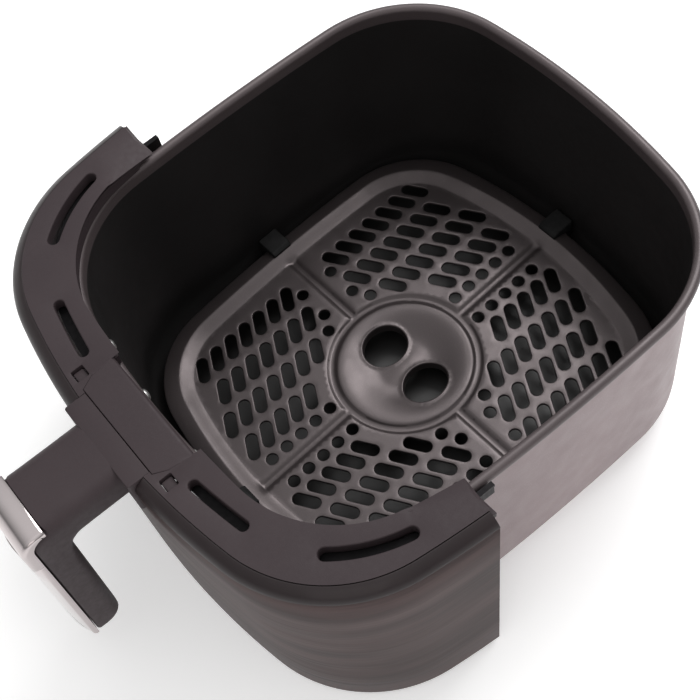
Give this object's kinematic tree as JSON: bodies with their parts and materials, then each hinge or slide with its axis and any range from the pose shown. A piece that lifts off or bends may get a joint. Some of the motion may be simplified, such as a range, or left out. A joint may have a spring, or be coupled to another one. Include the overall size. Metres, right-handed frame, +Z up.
{
  "type": "air fryer drawer",
  "caption": "Deep air fryer drawer: rounded-square non-stick pan, lift-out perforated crisper plate, curved plastic fascia and L-shaped handle with bright trim.",
  "frame": {"origin": "centre of the pan's flat base, on the surface it stands on", "axes": "+Z up, +Y towards the back of the pan, handle towards -Y, +X to the right seen from the handle"},
  "size_m": [0.2762, 0.3377, 0.1433],
  "materials": {
    "pan_coating": "satin black non-stick coating",
    "plate_coating": "satin dark grey non-stick coating",
    "silicone": "matt black silicone",
    "matt_plastic": "fine-textured matt dark grey moulding",
    "gloss_band": "glossy dark brown-grey",
    "front_panel_finish": "dark grey with fine horizontal brushed lines",
    "bracket_steel": "dark coated sheet steel",
    "fastener_steel": "plain bright steel",
    "chrome_trim": "polished chrome plate"
  },
  "bodies": {
    "drawer": {"pan": "pan_coating", "pan_rivet_1": "fastener_steel", "pan_rivet_2": "fastener_steel", "pan_rivet_3": "fastener_steel", "pan_rivet_4": "fastener_steel", "top_frame": "matt_plastic", "trim_band_right": "gloss_band", "trim_band_left": "gloss_band", "front_panel": "front_panel_finish", "bracket": "bracket_steel", "frame_screw_1": "fastener_steel", "frame_screw_2": "fastener_steel", "frame_screw_3": "fastener_steel", "frame_screw_4": "fastener_steel", "handle_body": "matt_plastic", "handle_cover": "matt_plastic", "handle_screw_1": "fastener_steel", "handle_screw_2": "fastener_steel", "cover_catch_right": "matt_plastic", "cover_catch_left": "matt_plastic", "chrome_cap": "chrome_trim", "chrome_strip": "chrome_trim"},
    "crisper": {"crisper_plate": "plate_coating", "bumper_right": "silicone", "bumper_back": "silicone", "bumper_left": "silicone", "bumper_front": "silicone"}
  },
  "joints": [
    {"name": "crisper_lift", "type": "slide", "parent": "drawer", "child": "crisper", "axis": [0, 0, 1], "range_m": [0, 0.165]}
  ]
}
